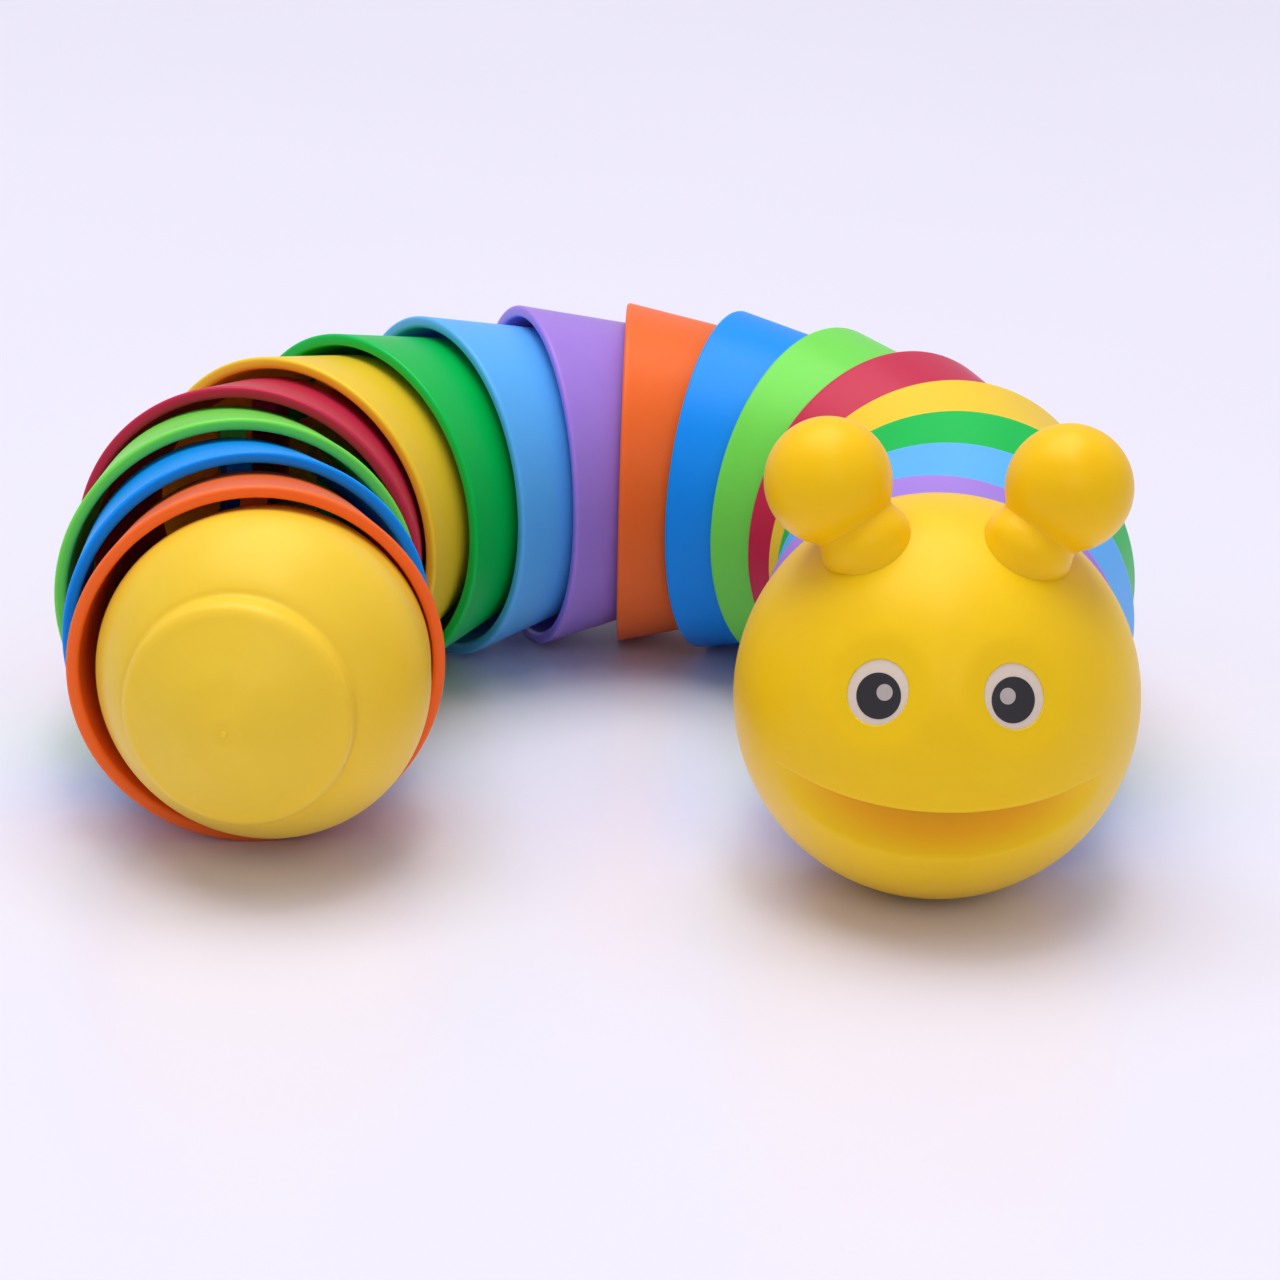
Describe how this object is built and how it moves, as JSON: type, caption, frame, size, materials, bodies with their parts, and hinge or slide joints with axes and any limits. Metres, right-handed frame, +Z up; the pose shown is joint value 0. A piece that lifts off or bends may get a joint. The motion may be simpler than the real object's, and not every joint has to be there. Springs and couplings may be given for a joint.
{
  "type": "jointed fidget worm",
  "caption": "Jointed fidget worm with a smiling yellow ball head, two feelers and nested rainbow-coloured cone segments, curled in a U.",
  "frame": {"origin": "middle of the curled toy's outline, on the table it rests on", "axes": "+X from the tail cap's side to the head's side, -Y the way the face and the tail cap point, +Z up from the table"},
  "size_m": [0.1068, 0.105, 0.0468],
  "materials": {
    "yellow_plastic": "semi-matte moulded plastic",
    "feeler_plastic": "semi-matte moulded plastic",
    "purple_plastic": "semi-matte moulded plastic",
    "sky_blue_plastic": "semi-matte moulded plastic",
    "green_plastic": "semi-matte moulded plastic",
    "red_plastic": "semi-matte moulded plastic",
    "lime_plastic": "semi-matte moulded plastic",
    "blue_plastic": "semi-matte moulded plastic",
    "orange_plastic": "semi-matte moulded plastic",
    "eye_white": "satin printed ink",
    "pupil_black": "satin printed ink"
  },
  "bodies": {
    "head": {"head_shell": "yellow_plastic", "feeler_left": "feeler_plastic", "feeler_right": "feeler_plastic", "eye_left": "eye_white", "eye_right": "eye_white", "pupil_left": "pupil_black", "pupil_right": "pupil_black"},
    "segment_01": {"segment_01_purple": "purple_plastic"},
    "segment_02": {"segment_02_sky_blue": "sky_blue_plastic"},
    "segment_03": {"segment_03_green": "green_plastic"},
    "segment_04": {"segment_04_yellow": "yellow_plastic"},
    "segment_05": {"segment_05_red": "red_plastic"},
    "segment_06": {"segment_06_lime": "lime_plastic"},
    "segment_07": {"segment_07_blue": "blue_plastic"},
    "segment_08": {"segment_08_orange": "orange_plastic"},
    "segment_09": {"segment_09_purple": "purple_plastic"},
    "segment_10": {"segment_10_sky_blue": "sky_blue_plastic"},
    "segment_11": {"segment_11_green": "green_plastic"},
    "segment_12": {"segment_12_yellow": "yellow_plastic"},
    "segment_13": {"segment_13_red": "red_plastic"},
    "segment_14": {"segment_14_lime": "lime_plastic"},
    "segment_15": {"segment_15_blue": "blue_plastic"},
    "segment_16": {"segment_16_orange": "orange_plastic"},
    "tail": {"tail_cap": "yellow_plastic"}
  },
  "joints": [
    {"name": "hinge_08_09", "type": "hinge", "parent": "segment_08", "child": "segment_09", "pos_m": [-0.00273, 0.03469, 0.01791], "axis": [0, 0, 1], "range_deg": [-40, 2]},
    {"name": "hinge_09_10", "type": "hinge", "parent": "segment_09", "child": "segment_10", "pos_m": [-0.0127, 0.0314, 0.01791], "axis": [0, 0, 1], "range_deg": [-35, 7]},
    {"name": "hinge_10_11", "type": "hinge", "parent": "segment_10", "child": "segment_11", "pos_m": [-0.02158, 0.02578, 0.01791], "axis": [0, 0, 1], "range_deg": [-35, 7]},
    {"name": "hinge_11_12", "type": "hinge", "parent": "segment_11", "child": "segment_12", "pos_m": [-0.02883, 0.01819, 0.01791], "axis": [0, 0, 1], "range_deg": [-33, 9]},
    {"name": "hinge_12_13", "type": "hinge", "parent": "segment_12", "child": "segment_13", "pos_m": [-0.03435, 0.00926, 0.01791], "axis": [0, 0, 1], "range_deg": [-41, 1]},
    {"name": "hinge_13_14", "type": "hinge", "parent": "segment_13", "child": "segment_14", "pos_m": [-0.03648, -0.00102, 0.01791], "axis": [0, 0, 1], "range_deg": [-41, 1]},
    {"name": "hinge_14_15", "type": "hinge", "parent": "segment_14", "child": "segment_15", "pos_m": [-0.03496, -0.01141, 0.01791], "axis": [0, 0, 1], "range_deg": [-25, 17]},
    {"name": "hinge_15_16", "type": "hinge", "parent": "segment_15", "child": "segment_16", "pos_m": [-0.03272, -0.02167, 0.01791], "axis": [0, 0, 1], "range_deg": [-15, 27]},
    {"name": "hinge_16_tail", "type": "hinge", "parent": "segment_16", "child": "tail", "pos_m": [-0.03157, -0.03211, 0.01791], "axis": [0, 0, 1], "range_deg": [-6, 36]},
    {"name": "hinge_07_08", "type": "hinge", "parent": "segment_08", "child": "segment_07", "pos_m": [0.00777, 0.03456, 0.01791], "axis": [0, 0, 1], "range_deg": [-3, 39]},
    {"name": "hinge_06_07", "type": "hinge", "parent": "segment_07", "child": "segment_06", "pos_m": [0.01771, 0.0312, 0.01791], "axis": [0, 0, 1], "range_deg": [-4, 38]},
    {"name": "hinge_05_06", "type": "hinge", "parent": "segment_06", "child": "segment_05", "pos_m": [0.02624, 0.02507, 0.01791], "axis": [0, 0, 1], "range_deg": [-4, 38]},
    {"name": "hinge_04_05", "type": "hinge", "parent": "segment_05", "child": "segment_04", "pos_m": [0.0326, 0.01672, 0.01791], "axis": [0, 0, 1], "range_deg": [-1, 41]},
    {"name": "hinge_03_04", "type": "hinge", "parent": "segment_04", "child": "segment_03", "pos_m": [0.03573, 0.00669, 0.01791], "axis": [0, 0, 1], "range_deg": [-1, 41]},
    {"name": "hinge_02_03", "type": "hinge", "parent": "segment_03", "child": "segment_02", "pos_m": [0.03523, -0.0038, 0.01791], "axis": [0, 0, 1], "range_deg": [-16, 26]},
    {"name": "hinge_01_02", "type": "hinge", "parent": "segment_02", "child": "segment_01", "pos_m": [0.03382, -0.0142, 0.01791], "axis": [0, 0, 1], "range_deg": [-19, 23]},
    {"name": "hinge_head_01", "type": "hinge", "parent": "segment_01", "child": "head", "pos_m": [0.03206, -0.02455, 0.01791], "axis": [0, 0, 1], "range_deg": [-30, 12]}
  ]
}
